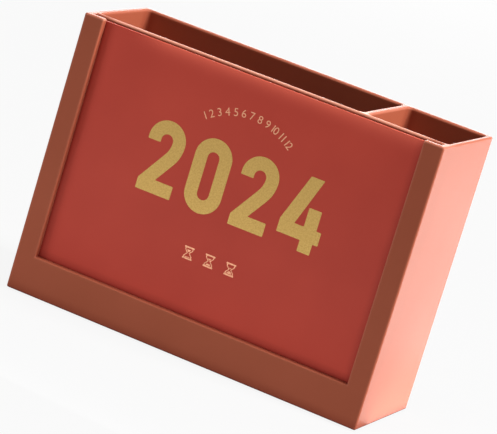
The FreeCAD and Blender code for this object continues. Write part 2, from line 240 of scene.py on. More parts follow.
# %% Edge shine
def make_edge_shine():
    # Its mask paints edges lighter, partly as wear and partly as a painted highlight.
    inputs = {"Radius": (FLOAT, 0.8 * MM), "Strength": (FLOAT, 1.0)}
    group, given, result = start_group("edge_shine", inputs, {"Mask": FLOAT})
    bent = add_node(group, "ShaderNodeBevel", Radius=given["Radius"])
    bent.samples = 4
    true_normal = group.nodes.new("ShaderNodeNewGeometry").outputs["Normal"]
    match = group.nodes.new("ShaderNodeVectorMath")
    match.operation = "DOT_PRODUCT"
    feed(group, match.inputs[0], bent.outputs[0])
    feed(group, match.inputs[1], true_normal)
    away = add_math(group, "SUBTRACT", 1.0, match.outputs["Value"], clamp=True)
    feed(group, result["Mask"], add_math(group, "MULTIPLY", away, given["Strength"], clamp=True))
    return group


edge_shine = make_edge_shine()
print("edge shine:", len(edge_shine.nodes), "nodes")

# %% Top highlight
LEFT_FADE = 30 * MM  # how far the painted highlight takes to grow to full from its left end


# This mask paints a highlight that fades down from a top edge.
def make_top_wear():
    """A mask that fades down from the height Edge over Depth, and out to the left of Left."""
    inputs = {
        "Edge": (FLOAT, 0.15),
        "Depth": (FLOAT, 0.01),
        "Power": (FLOAT, 2.5),
        "Left": (FLOAT, -1.0),
    }
    group, given, result = start_group("top_highlight", inputs, {"Mask": FLOAT})
    apart = add_node(group, "ShaderNodeSeparateXYZ", Vector=object_place(group))
    below = add_math(group, "SUBTRACT", given["Edge"], apart.outputs["Z"])
    share = add_math(group, "DIVIDE", below, given["Depth"], clamp=True)
    fade = add_math(group, "POWER", add_math(group, "SUBTRACT", 1.0, share), given["Power"])
    past = add_math(group, "SUBTRACT", apart.outputs["X"], given["Left"])
    along = add_ramp(group, past, 0.0, LEFT_FADE, soft=True)
    feed(group, result["Mask"], add_math(group, "MULTIPLY", fade, along))
    return group


top_highlight = make_top_wear()
print("top wear:", len(top_highlight.nodes), "nodes")

# %% Corner shade
# Painted shade: this mask darkens a point where other surfaces lie close in front of it.
def make_crevice():
    inputs = {"Reach": (FLOAT, 4.0 * MM), "Strength": (FLOAT, 1.0)}
    group, given, result = start_group("corner_shade", inputs, {"Mask": FLOAT})
    nearby = add_node(group, "ShaderNodeAmbientOcclusion", Distance=given["Reach"])
    nearby.samples = 8
    hidden = add_math(group, "SUBTRACT", 1.0, nearby.outputs["AO"], clamp=True)
    feed(group, result["Mask"], add_math(group, "MULTIPLY", hidden, given["Strength"], clamp=True))
    return group


corner_shade = make_crevice()
print("crevice:", len(corner_shade.nodes), "nodes")

# %% Paper fibre
def make_paper_fibre():
    inputs = {"Scale": (FLOAT, 900.0), "Stretch": (FLOAT, 0.15)}
    group, given, result = start_group("paper_fibre", inputs, {"Height": FLOAT})
    place = object_place(group)
    squeeze = add_node(group, "ShaderNodeCombineXYZ", X=given["Stretch"], Y=1.0, Z=1.0)
    along_x = add_node(group, "ShaderNodeMapping", Vector=place, Scale=squeeze.outputs[0]).outputs[0]
    lying = add_node(group, "ShaderNodeTexNoise", Vector=along_x, Scale=given["Scale"], Detail=3.0)
    cloud = add_node(group, "ShaderNodeTexNoise", Vector=place, Scale=given["Scale"], Detail=1.0)
    total = add_math(group, "ADD", lying.outputs[0], cloud.outputs[0])
    feed(group, result["Height"], add_math(group, "MULTIPLY", total, 0.5))
    return group


paper_fibre = make_paper_fibre()
print("paper fibre:", len(paper_fibre.nodes), "nodes")

# %% [markdown]
# ## Materials
# Each finish is a function of its own, and each starts from the Principled shader that a new
# material comes with. The groups feed its colour, roughness and normal. A number that is the same
# all over a surface is set on the shader itself. The colours are linear, as shaders take them.

# %% Material helpers
def start_material(name):
    """A material with an empty Principled shader. Returns the material, its tree and the shader."""
    material = bpy.data.materials.new(name)
    material.use_nodes = True
    tree = material.node_tree
    return material, tree, tree.nodes["Principled BSDF"]


def add_roughness(tree, shader, pattern, start, change):
    """Roughness that follows a pattern: start where it is 0, and change more where it is 1."""
    fill(tree, shader, Roughness=add_math(tree, "MULTIPLY_ADD", pattern, change, start))


def add_bump(tree, shader, height, strength, depth):
    """Feeds a height, in metres of depth, into the shader's normal."""
    bump = add_node(tree, "ShaderNodeBump", Strength=strength, Distance=depth, Height=height)
    fill(tree, shader, Normal=bump.outputs["Normal"])


# %% [markdown]
# ## Terracotta plastic
# The box, its base plate and its drawer are moulded in a satin terracotta plastic. One flat colour
# would look like a toy, so the colour drifts a little. The edges are painted lighter, partly as
# wear and partly as a painted highlight, and corners and gaps are painted darker as shade. The
# upper rim has a pale painted highlight, full over the card slot and weak at its ends and on the
# walls behind. The gloss is small when seen straight on and larger at a grazing angle, which a low
# specular level with a middling roughness gives.

# %% Terracotta plastic
PLASTIC_DARK = (0.376, 0.093, 0.047, 1)
PLASTIC_LIGHT = (0.400, 0.100, 0.052, 1)
# The edge colour is partly wear and partly a painted highlight, the rim colour is a painted highlight,
# and the darkest colour is painted shade.
PLASTIC_EDGE_WEAR_HIGHLIGHT = (0.620, 0.245, 0.165, 1)
PLASTIC_RIM_HIGHLIGHT = (0.740, 0.330, 0.230, 1)
PLASTIC_SHADE = (0.150, 0.012, 0.004, 1)
RIM_DEPTH = 1.3 * MM
RIM_FADE = 6 * MM  # over which the rim's painted highlight goes from full to its share
WALLS_FROM, WALLS_SHARE = cad_low.y + 13 * MM, 0.1  # behind the card slot
ENDS_FROM, ENDS_SHARE = cad_high.x - 15 * MM, 0.2  # over the slot's two ends


def add_rim_wear(tree):
    """The mask of the rim's painted highlight: full over the card slot, weak at its ends and on the
    walls behind.
    """
    lit_rim = place_group(tree, top_highlight, Edge=cad_high.z, Depth=RIM_DEPTH, Power=0.5)["Mask"]
    apart = add_node(tree, "ShaderNodeSeparateXYZ", Vector=object_place(tree))
    sideways = add_math(tree, "ABSOLUTE", apart.outputs["X"])
    walls = add_ramp(tree, apart.outputs["Y"], WALLS_FROM, WALLS_FROM + RIM_FADE, 1.0, WALLS_SHARE)
    ends = add_ramp(tree, sideways, ENDS_FROM, ENDS_FROM + RIM_FADE, 1.0, ENDS_SHARE)
    return add_math(tree, "MULTIPLY", add_math(tree, "MULTIPLY", lit_rim, walls), ends)


def make_box_plastic():
    material, tree, shader = start_material("box_plastic")
    mottle = place_group(tree, slow_mottle, Dark=PLASTIC_DARK, Light=PLASTIC_LIGHT, Scale=22.0)
    # Edges painted lighter, partly as wear and partly as a painted highlight.
    edge_wear_highlight = place_group(tree, edge_shine, Radius=1.5 * MM, Strength=3.2)
    # Painted shade in corners and gaps.
    painted_shade = place_group(tree, corner_shade, Reach=7.0 * MM, Strength=1.15)
    colour = add_mix(tree, edge_wear_highlight["Mask"], mottle["Color"], PLASTIC_EDGE_WEAR_HIGHLIGHT)
    # A painted highlight on the upper rim.
    colour = add_mix(tree, add_rim_wear(tree), colour, PLASTIC_RIM_HIGHLIGHT)
    colour = add_mix(tree, painted_shade["Mask"], colour, PLASTIC_SHADE)
    fill(tree, shader, Base_Color=colour, Specular_IOR_Level=0.08)
    grain = place_group(tree, fine_grain, Scale=2600.0, Coarse=0.3)
    add_roughness(tree, shader, grain["Height"], start=0.42, change=0.10)
    add_bump(tree, shader, grain["Height"], strength=0.25, depth=0.03 * MM)
    return material


box_plastic = make_box_plastic()
print("box plastic:", len(box_plastic.node_tree.nodes), "nodes")

# %% [markdown]
# ## Red cover paper
# The front card is wrapped in a coated red paper. A plain noise would give it tooth, but paper has
# a direction, so the fibre group gives the roughness and the bump. The colour is paler along the
# top edge, a painted highlight where the rolled top catches the light, and darker where the
# window's frame stands close to it, painted shade of the frame.

# %% Red cover paper
COVER_DARK = (0.525, 0.054, 0.032, 1)
COVER_LIGHT = (0.593, 0.066, 0.039, 1)
# A painted highlight along the rolled top edge.
COVER_TOP_HIGHLIGHT = (0.850, 0.150, 0.094, 1)
# Painted shade beside the window's frame.
COVER_SHADE = (0.180, 0.004, 0.002, 1)
TOP_LIGHT_DEPTH = 12.5 * MM
TOP_LIGHT_LEFT = -82 * MM  # the left corner gets no painted highlight


def make_cover_paper():
    material, tree, shader = start_material("cover_paper")
    mottle = place_group(tree, slow_mottle, Dark=COVER_DARK, Light=COVER_LIGHT, Scale=16.0)
    # A painted highlight along the top edge.
    top_lit = place_group(tree, top_highlight, Edge=cad_high.z, Depth=TOP_LIGHT_DEPTH, Left=TOP_LIGHT_LEFT)
    # Painted shade where the window's frame stands close to the card.
    painted_shade = place_group(tree, corner_shade, Reach=5.0 * MM, Strength=1.0)
    colour = add_mix(tree, top_lit["Mask"], mottle["Color"], COVER_TOP_HIGHLIGHT)
    colour = add_mix(tree, painted_shade["Mask"], colour, COVER_SHADE)
    fill(tree, shader, Base_Color=colour, Specular_IOR_Level=0.22)
    fibre = place_group(tree, paper_fibre, Scale=1400.0, Stretch=0.35)
    add_roughness(tree, shader, fibre["Height"], start=0.46, change=0.12)
    add_bump(tree, shader, fibre["Height"], strength=0.3, depth=0.03 * MM)
    return material


cover_paper = make_cover_paper()
print("cover paper:", len(cover_paper.node_tree.nodes), "nodes")

# %% [markdown]
# ## Foils
# Stamped foil is a film of metal, pressed into paper so that it takes up the paper's tooth. A
# smooth mirror would look like chrome, so fine specks change its colour and its roughness. The
# year is gold and the small print a paler rose. They differ only in colour, so one function makes
# both.

# %% Foils
GOLD_DARK = (0.375, 0.235, 0.066, 1)
GOLD_LIGHT = (0.455, 0.295, 0.088, 1)
ROSE_DARK = (0.540, 0.245, 0.140, 1)
ROSE_LIGHT = (0.660, 0.305, 0.180, 1)


def make_foil(name, dark, light):
    material, tree, shader = start_material(name)
    grain = place_group(tree, fine_grain, Scale=2600.0, Coarse=0.4)
    speck = add_ramp(tree, grain["Height"], 0.38, 0.62)
    fill(tree, shader, Base_Color=add_mix(tree, speck, dark, light), Metallic=0.85)
    add_roughness(tree, shader, speck, start=0.50, change=-0.12)
    add_bump(tree, shader, grain["Height"], strength=0.35, depth=0.02 * MM)
    return material


gold_foil = make_foil("gold_foil", GOLD_DARK, GOLD_LIGHT)
rose_foil = make_foil("rose_foil", ROSE_DARK, ROSE_LIGHT)
print("foils:", gold_foil.name, "and", rose_foil.name)

# %% [markdown]
# ## Paper, ink, rubber and steel
# The month cards are off-white paper printed in dark ink, the feet are black rubber, and the
# screws are zinc-plated steel. They need no effects of their own: a mottle between two near
# colours, and a little fibre or grain on all but the steel, are enough at these sizes.

# %% Paper and ink
PAPER_DARK = (0.780, 0.745, 0.670, 1)
PAPER_LIGHT = (0.830, 0.800, 0.730, 1)
INK_DARK = (0.050, 0.020, 0.015, 1)
INK_LIGHT = (0.075, 0.032, 0.024, 1)


def make_month_paper():
    material, tree, shader = start_material("month_paper")
    mottle = place_group(tree, slow_mottle, Dark=PAPER_DARK, Light=PAPER_LIGHT, Scale=40.0)
    fill(tree, shader, Base_Color=mottle["Color"], Specular_IOR_Level=0.25)
    fibre = place_group(tree, paper_fibre, Scale=1800.0, Stretch=0.3)
    add_roughness(tree, shader, fibre["Height"], start=0.62, change=0.1)
    add_bump(tree, shader, fibre["Height"], strength=0.3, depth=0.02 * MM)
    return material


def make_print_ink():
    material, tree, shader = start_material("print_ink")
    mottle = place_group(tree, slow_mottle, Dark=INK_DARK, Light=INK_LIGHT, Scale=600.0)
    fill(tree, shader, Base_Color=mottle["Color"], Roughness=0.55)
    grain = place_group(tree, fine_grain, Scale=3000.0)
    add_bump(tree, shader, grain["Height"], strength=0.2, depth=0.01 * MM)
    return material


month_paper = make_month_paper()
print_ink = make_print_ink()
print("print:", print_ink.name, "on", month_paper.name)

# %% Rubber and steel
RUBBER_DARK = (0.018, 0.017, 0.017, 1)
RUBBER_LIGHT = (0.035, 0.033, 0.032, 1)
STEEL_DARK = (0.420, 0.420, 0.430, 1)
STEEL_LIGHT = (0.580, 0.580, 0.600, 1)


def make_foot_rubber():
    material, tree, shader = start_material("foot_rubber")
    mottle = place_group(tree, slow_mottle, Dark=RUBBER_DARK, Light=RUBBER_LIGHT, Scale=300.0)
    fill(tree, shader, Base_Color=mottle["Color"], Roughness=0.8)
    grain = place_group(tree, fine_grain, Scale=3500.0)
    add_bump(tree, shader, grain["Height"], strength=0.4, depth=0.03 * MM)
    return material


def make_screw_steel():
    material, tree, shader = start_material("screw_steel")
    mottle = place_group(tree, slow_mottle, Dark=STEEL_DARK, Light=STEEL_LIGHT, Scale=900.0)
    fill(tree, shader, Base_Color=mottle["Color"], Metallic=1.0)
    add_roughness(tree, shader, mottle["Mask"], start=0.25, change=0.15)
    return material


foot_rubber = make_foot_rubber()
screw_steel = make_screw_steel()
print("materials:", [m.name for m in bpy.data.materials])

# %% [markdown]
# ## Finish of the CAD pieces
# The moulded pieces, the feet, the screws and the month cards already have their true shape, so
# they only take a material. The title card takes one too, though a detailed board stands for it
# later on.

# %% Materials on the CAD nodes
NODE_MATERIALS = {
    "box_body": box_plastic,
    "base_plate": box_plastic,
    "drawer": box_plastic,
    "base_screws": screw_steel,
    "title_card": cover_paper,
}


def finish_of(name):
    """The material of a CAD node, by its name."""
    if name.startswith("foot_"):
        return foot_rubber
    if name.startswith("month_card_"):
        return month_paper
    return NODE_MATERIALS[name]


for name, node in nodes.items():
    if not node.material_slots:
        node.data.materials.append(None)
    for slot in node.material_slots:
        slot.material = finish_of(name)
print("finished", len(nodes), "CAD nodes")

# %% [markdown]
# ## Front card
# The real card is stiff board wrapped in red paper, and it stands in front of the month cards.
# Its corners are rounded, its edges are soft where the paper folds over, and its top edge is
# rolled back a little where fingers pull it out. A cube scaled to the card's size gives the
# board, and bevels round its corners and edges. The roll could be a deform modifier, but it fades
# out at the left corner and grows weaker at the right one, which is easier to say point by point.
# Plane cuts give it something to bend: level ones near the top, and upright ones where it fades.
# Only the front face moves back, so the board stays clear of the first month card.

# %% Pieces
SHARP_ANGLE = math.radians(35)


def new_piece(name, bm, material, body):
    """Makes a piece from a bmesh: smooth shaded, riding on its body, with its finish and slot."""
    mesh = bpy.data.meshes.new(name)
    for face in bm.faces:
        face.smooth = True
    bm.to_mesh(mesh)
    bm.free()
    mesh.set_sharp_from_angle(angle=SHARP_ANGLE)
    mesh.materials.append(material)
    piece = bpy.data.objects.new(name, mesh)
    bpy.context.scene.collection.objects.link(piece)
    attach(piece, body)
    return piece


# %% Mesh helpers
def depth_of(edge):
    """How far an edge reaches from front to back."""
    return abs((edge.verts[1].co - edge.verts[0].co).y)


def round_edges(bm, edges, radius, segments):
    """Rounds the given edges."""
    bmesh.ops.bevel(
        bm, geom=edges, offset=radius, segments=segments, profile=0.5, affect="EDGES", material=-1
    )


def cut_across(bm, place, normal):
    """Cuts every face along a plane, so that the mesh can bend there."""
    everything = bm.verts[:] + bm.edges[:] + bm.faces[:]
    bmesh.ops.bisect_plane(bm, geom=everything, plane_co=place, plane_no=normal)


def smooth_ramp(value, start, end):
    """0 before start, 1 after end, and a soft S between them."""
    share = min(max((value - start) / (end - start), 0.0), 1.0)
    return share * share * (3 - 2 * share)


# %% Size of the front card
card_low, card_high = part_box("title_card")
card_thickness = card_high.y - card_low.y
print("front card in mm:", [round(s / MM, 2) for s in card_high - card_low])

# %% Roll of the top edge
ROLL_HEIGHT = 6.5 * MM
ROLL_DEPTH = 0.62 * MM
ROLL_STARTS, ROLL_FULL = -82 * MM, -52 * MM  # there is no roll at the left corner
ROLL_FADES, ROLL_ENDS, ROLL_LEFT_OVER = 40 * MM, 94 * MM, 0.4  # and a weaker one at the right
ROLL_CUTS = 8  # for each stretch that bends
ROLL_CROWDING = 1.3  # above 1, the level cuts lie closer together near the top edge


def cut_for_roll(bm):
    """Level cuts over the height of the roll, and upright cuts where it grows and fades."""
    for step in range(1, ROLL_CUTS + 1):
        down = ROLL_HEIGHT * (step / ROLL_CUTS) ** ROLL_CROWDING
        cut_across(bm, (0, 0, card_high.z - down), (0, 0, 1))
    for start, end in ((ROLL_STARTS, ROLL_FULL), (ROLL_FADES, ROLL_ENDS)):
        for step in range(ROLL_CUTS + 1):
            cut_across(bm, (start + (end - start) * step / ROLL_CUTS, 0, 0), (1, 0, 0))


def roll_depth(x, z):
    """How far the front face moves back at a point."""
    height = max(1 - (card_high.z - z) / ROLL_HEIGHT, 0.0)
    weaker = 1 - (1 - ROLL_LEFT_OVER) * smooth_ramp(x, ROLL_FADES, ROLL_ENDS)
    return ROLL_DEPTH * height**2 * weaker * smooth_ramp(x, ROLL_STARTS, ROLL_FULL)


print("the top edge rolls back", round(roll_depth(0.0, card_high.z) / MM, 2), "mm in the middle")

# %% Board of the front card
CORNER_ROUND = 2.5 * MM
FOLD_ROUND = 0.25 * MM


def make_card_board():
    bm = bmesh.new()
    bmesh.ops.create_cube(bm, size=1.0)
    bmesh.ops.scale(bm, vec=card_high - card_low, verts=bm.verts)
    bmesh.ops.translate(bm, vec=(card_low + card_high) / 2, verts=bm.verts)
    corners = [e for e in bm.edges if depth_of(e) > card_thickness / 2]
    round_edges(bm, corners, CORNER_ROUND, segments=6)
    outlines = [e for e in bm.edges if depth_of(e) < card_thickness / 2]
    round_edges(bm, outlines, FOLD_ROUND, segments=3)
    cut_for_roll(bm)
    middle = (card_low.y + card_high.y) / 2
    for vert in bm.verts:
        if vert.co.y < middle:
            vert.co.y += roll_depth(vert.co.x, vert.co.z)
    bmesh.ops.recalc_face_normals(bm, faces=bm.faces)
    board = new_piece("title_card_board", bm, cover_paper, "title_card")
    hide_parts("title_card")
    return board


card_board = make_card_board()
print("front card:", len(card_board.data.polygons), "faces")

# %% [markdown]
# ## Foil stamping
# The year is stamped on the front card in gold foil, and an arc of numbers over it and three small
# hourglasses under it in rose foil. Foil has hardly any thickness, but it does stand a hair proud
# and its edge catches the light, so each shape is a very thin solid rather than a painted mask.
# The big digits are drawn as a broad pen would draw them: straight runs are four-sided faces, and
# each bend is one edge spun about a centre. Runs and bends share their end edges, so merging the
# doubles joins them.

# %% Pen strokes
BEND_STEP = math.radians(7)


def at(x, z):
    """A point on the drawing plane, from millimetres."""
    return Vector((x * MM, 0, z * MM))


def add_run(bm, *corners):
    """A straight stretch of a stroke: one face through the given (x, z) corners."""
    bm.faces.new([bm.verts.new(at(x, z)) for x, z in corners])


def add_bend(bm, centre, inner, outer, start, turn):
    """A curved stretch: the edge from the inner to the outer radius, spun by turn degrees."""
    across = at(math.cos(math.radians(start)), math.sin(math.radians(start)))
    middle = at(*centre)
    ends = [bm.verts.new(middle + across * radius) for radius in (inner, outer)]
    edge = bm.edges.new(ends)
    angle = math.radians(turn)
    steps = max(2, round(abs(angle) / BEND_STEP))
    bmesh.ops.spin(bm, geom=ends + [edge], cent=middle, axis=(0, -1, 0), angle=angle, steps=steps)


print("a half turn has", round(math.pi / BEND_STEP), "steps")

# %% Films
MERGE_WITHIN = 0.002 * MM
FOIL_PROUD = 0.04 * MM


def make_film(bm, proud, corner):
    """Turns flat faces on the drawing plane into a thin closed film that faces -Y."""
    bmesh.ops.remove_doubles(bm, verts=bm.verts, dist=MERGE_WITHIN)
    grown = bmesh.ops.extrude_face_region(bm, geom=bm.faces[:], use_keep_orig=True)["geom"]
    raised = [v for v in grown if isinstance(v, bmesh.types.BMVert)]
    bmesh.ops.translate(bm, vec=(0, -proud, 0), verts=raised)
    bmesh.ops.recalc_face_normals(bm, faces=bm.faces)
    if corner:
        upright = [e for e in bm.edges if depth_of(e) > proud / 2]
        sharp = [e for e in upright if e.calc_face_angle(0.0) > SHARP_ANGLE]
        round_edges(bm, sharp, corner, segments=3)


def lay_print(name, bm, material, body, front, proud=FOIL_PROUD, corner=0.0):
    """Makes drawn faces a film that lies on a card's front face, and the film a piece."""
    make_film(bm, proud, corner)
    bmesh.ops.translate(bm, vec=(0, front, 0), verts=bm.verts)
    return new_piece(name, bm, material, body)


print("foil stands", FOIL_PROUD / MM, "mm proud")

# %% Digit sizes
STROKE = 7.3  # millimetres, as all the drawing sizes here
ROUND_OUT = 10.7
ROUND_IN = ROUND_OUT - STROKE
DIGIT_TALL = 40.0
UPPER = DIGIT_TALL - ROUND_OUT  # height of the upper bends' centres
print("digits are", DIGIT_TALL, "mm tall, drawn with a", STROKE, "mm stroke")

# %% Zero
ZERO_LOWER = ROUND_OUT - 0.8  # the zero hangs a little under the base line, as round digits do


def draw_zero(bm, x, z):
    """A ring of two half turns and two straight sides. x is the middle, z the base line."""
    low, high = z + ZERO_LOWER, z + UPPER
    for centre_z, start in ((high, 0), (low, 180)):
        add_bend(bm, (x, centre_z), ROUND_IN, ROUND_OUT, start, 180)
    for side in (-1, 1):
        near, far = x + side * ROUND_IN, x + side * ROUND_OUT
        add_run(bm, (near, low), (far, low), (far, high), (near, high))


# %% Two
TIP_DROP = 1.9  # how far the hook's tip hangs under the centre of its bend
SLOW_TURN = 35.0  # degrees of the slow bend between the hook and the slanting run
SLOW_IN = 12.0
SLOW_OUT = SLOW_IN + STROKE
HEEL_IN, HEEL_RISE = 0.6, 5.9  # the slanting run meets the foot between the heel
ANKLE_IN, TOE_SHORT = 10.3, 0.2  # and the ankle, and the foot ends at the toe


def draw_two(bm, x, z):
    """A hook over the top, a slanting run and a foot. x is the middle of the hook."""
    left, right = x - ROUND_OUT, x + ROUND_OUT
    bowl = z + UPPER
    tip = bowl - TIP_DROP
    add_run(bm, (left, tip), (left + STROKE, tip), (left + STROKE, bowl), (left, bowl))
    add_bend(bm, (x, bowl), ROUND_IN, ROUND_OUT, 180, -180)
    slow_x = right - SLOW_OUT
    add_bend(bm, (slow_x, bowl), SLOW_IN, SLOW_OUT, 0, -SLOW_TURN)
    fall_x, fall_z = math.cos(math.radians(SLOW_TURN)), -math.sin(math.radians(SLOW_TURN))
    inside = (slow_x + SLOW_IN * fall_x, bowl + SLOW_IN * fall_z)
    outside = (slow_x + SLOW_OUT * fall_x, bowl + SLOW_OUT * fall_z)
    heel_x, ankle_x, toe_x = left + HEEL_IN, left + ANKLE_IN, right - TOE_SHORT
    heel, ankle = (heel_x, z + HEEL_RISE), (ankle_x, z + STROKE)
    add_run(bm, inside, outside, ankle, heel)
    add_run(bm, heel, ankle, (ankle_x, z), (heel_x, z))
    add_run(bm, ankle, (toe_x, z + STROKE), (toe_x, z), (ankle_x, z))


# %% Four
BAR_RISE = 6.0  # height of the bar's lower edge
SLANT_END, UPRIGHT_START, BAR_END = 8.3, 13.8, 24.0  # along the bar, from its left end
UPRIGHT_TOP = 23.7
PEAK, PEAK_TOP = (10.0, 17.8), DIGIT_TALL - 0.5  # the slanting run's upper end


def draw_four(bm, x, z):
    """A slanting run down to a bar, crossed by an upright. x is the left end of the bar."""
    low, high = z + BAR_RISE, z + BAR_RISE + STROKE
    columns = (x, x + SLANT_END, x + UPRIGHT_START, x + UPRIGHT_START + STROKE, x + BAR_END)
    for left, right in zip(columns, columns[1:]):
        add_run(bm, (left, low), (right, low), (right, high), (left, high))
    left, right = columns[2:4]
    top = z + UPRIGHT_TOP
    add_run(bm, (left, z), (right, z), (right, low), (left, low))
    add_run(bm, (left, high), (right, high), (right, top), (left, top))
    peak_left, peak_right = (x + place for place in PEAK)
    peak = z + PEAK_TOP
    add_run(bm, (columns[0], high), (columns[1], high), (peak_right, peak), (peak_left, peak))


# %% Year
YEAR_BASE = 77.0
YEAR_LEFT = -41.3  # middle of the first 2
YEAR_STEP = 55.3  # from the first 2 to the second
YEAR_FOUR = 72.2  # and to the left end of the 4
FOIL_CORNER = 0.45 * MM


def make_year():
    bm = bmesh.new()
    draw_two(bm, YEAR_LEFT, YEAR_BASE)
    draw_zero(bm, YEAR_LEFT + YEAR_STEP / 2, YEAR_BASE)
    draw_two(bm, YEAR_LEFT + YEAR_STEP, YEAR_BASE)
    draw_four(bm, YEAR_LEFT + YEAR_FOUR, YEAR_BASE)
    return lay_print(
        "year_foil", bm, gold_foil, "title_card", card_low.y, corner=FOIL_CORNER
    )


year = make_year()
print("year:", len(year.data.polygons), "faces")

# %% [markdown]
# ## Small numbers
# The small numbers come from Blender's own plain font, which is quicker than drawing each one and
# reads well at a few millimetres. Every number is made a mesh once for each fineness, turned onto
# the drawing plane and kept, so that the arc on the front card and all the month cards copy the
# same few shapes. A large number needs finer bends than a small one to look as round.

# %% Number shapes
DATE_FINENESS, ARC_FINENESS, MONTH_FINENESS = 2, 5, 10  # steps in each bend, more when larger
DIGIT_SPACING = 0.93  # a little closer than the font's own
ONE_SPACING = 0.66  # after a leading 1, which is narrow, so that 11 reads as one number
number_shapes = {}


def number_shape(value, fineness):
    """A flat mesh of a number, 1 high with its base line at 0 and its middle at x = 0."""
    if (value, fineness) not in number_shapes:
        text = bpy.data.curves.new("number", "FONT")
        text.body = str(value)
        text.resolution_u = fineness
        text.space_character = ONE_SPACING if text.body.startswith("1") else DIGIT_SPACING
        writer = bpy.data.objects.new("number", text)
        flat = bpy.data.meshes.new_from_object(writer)
        bpy.data.objects.remove(writer)
        flat.transform(Matrix.Rotation(math.radians(90), 4, "X"))
        xs = [v.co.x for v in flat.vertices]
        zs = [v.co.z for v in flat.vertices]
        flat.transform(Matrix.Translation((-(min(xs) + max(xs)) / 2, 0, -min(zs))))
        flat.transform(Matrix.Scale(1 / (max(zs) - min(zs)), 4))
        number_shapes[value, fineness] = flat
    return number_shapes[value, fineness]


def shape_width(flat):
    """How wide a number's mesh is."""
    return 2 * max(v.co.x for v in flat.vertices)


def add_number(bm, value, x, z, height, fineness, lean=0.0):
    """Puts a number on the drawing plane, its base line's middle at (x, z), leaning to the right."""
    first = len(bm.verts)
    bm.from_mesh(number_shape(value, fineness))
    bm.verts.ensure_lookup_table()
    place = Matrix.Translation(at(x, z)) @ Matrix.Rotation(lean, 4, "Y") @ Matrix.Scale(height * MM, 4)
    bmesh.ops.transform(bm, matrix=place, verts=bm.verts[first:])


print("a 10 is", round(shape_width(number_shape(10, DATE_FINENESS)), 2), "times as wide as it is high")

# %% [markdown]
# ## Arc of numbers
# A line of small foil print bends over the year. It holds plain numbers, 1 to 12. Text can follow
# a curve in Blender, but the font sets its spacing, so a 1 would stand further off than an 8.
# Here each number's own width is measured, and the gaps between them are made equal.

# %% Arc of numbers over the year
ARC_MIDDLE = (0.1, 93.2)
ARC_RADIUS = 39.4  # to the base line
ARC_HEIGHT = 4.2
ARC_SPAN = math.radians(75)


def make_number_arc():
    bm = bmesh.new()
    widths = [shape_width(number_shape(n, ARC_FINENESS)) * ARC_HEIGHT for n in range(1, 13)]
    middle_radius = ARC_RADIUS + ARC_HEIGHT / 2
    gap = (ARC_SPAN * middle_radius - sum(widths)) / (len(widths) - 1)
    along = -ARC_SPAN * middle_radius / 2
    for number, width in enumerate(widths, start=1):
        lean = (along + width / 2) / middle_radius
        x = ARC_MIDDLE[0] + ARC_RADIUS * math.sin(lean)
        z = ARC_MIDDLE[1] + ARC_RADIUS * math.cos(lean)
        add_number(bm, number, x, z, ARC_HEIGHT, ARC_FINENESS, lean)
        along += width + gap
    print("gap between the numbers in mm:", round(gap, 2))
    return lay_print("number_arc_foil", bm, rose_foil, "title_card", card_low.y)


arc = make_number_arc()
print("arc of numbers:", len(arc.data.polygons), "faces")

# %% [markdown]
# ## Hourglasses
# Three small hourglasses stand under the year, each with less sand on top than the one before. A
# curve with a thickness could draw them, but its lines would only cross where they should join. So
# the pen's straight runs draw them: two bars, two bent walls to a bulb and a heap of sand in each.
# The bars are split where the walls meet them, so that they share whole edges and merge.

# %% Bulbs and sand
GLASS_HALF, NECK_HALF, WALL_WIDE = 2.4, 0.85, 0.6
SHOULDER = 0.9  # how far the walls run straight from a bar before they bend in
SAND_GAP = 0.3
SAND_LOW, SAND_HIGH, SAND_DEEP = 0.2, 0.9, 0.65  # shares of a bulb's height, from the neck


def draw_bulb(bm, x, end, middle):
    """One bulb's two walls, each straight at first and then bent in to the neck."""
    bend = end + math.copysign(SHOULDER, middle - end)
    rings = ((GLASS_HALF, end), (GLASS_HALF, bend), (NECK_HALF, middle))
    for side in (-1, 1):
        for (half, z), (next_half, next_z) in zip(rings, rings[1:]):
            add_run(
                bm, (x + side * half, z), (x + side * (half - WALL_WIDE), z),
                (x + side * (next_half - WALL_WIDE), next_z), (x + side * next_half, next_z),
            )


def draw_sand(bm, x, end, middle, shares):
    """A heap of sand between two shares of a bulb's height, clear of the walls."""
    corners = []
    for share, sides in zip(shares, ((-1, 1), (1, -1))):
        half = NECK_HALF - WALL_WIDE + share * (GLASS_HALF - NECK_HALF) - SAND_GAP / 2
        corners += [(x + side * half, middle + share * (end - middle)) for side in sides]
    add_run(bm, *corners)


# %% Hourglasses under the year
GLASS_PLACES = ((-11.9, 0.8), (0.5, 0.5), (12.9, 0.2))  # x of each, and the sand left on top
GLASS_BASE = 51.1
GLASS_TALL, BAR_HALF, BAR_THICK = 6.9, 2.85, 0.85
GLASS_CORNER = 0.12 * MM


def draw_hourglass(bm, x, z, left_on_top):
    """Two bars, two bulbs and the sand in them. (x, z) is the middle of the foot."""
    foot, head, middle = z + BAR_THICK, z + GLASS_TALL - BAR_THICK, z + GLASS_TALL / 2
    halves = (GLASS_HALF - WALL_WIDE, GLASS_HALF, BAR_HALF)
    columns = [-half for half in reversed(halves)] + list(halves)
    for low in (z, head):
        high = low + BAR_THICK
        for left, right in zip(columns, columns[1:]):
            add_run(bm, (x + left, low), (x + right, low), (x + right, high), (x + left, high))
    for end in (foot, head):
        draw_bulb(bm, x, end, middle)
    draw_sand(bm, x, head, middle, (SAND_LOW, SAND_LOW + SAND_DEEP * left_on_top))
    draw_sand(bm, x, foot, middle, (SAND_HIGH - SAND_DEEP * (1 - left_on_top), SAND_HIGH))


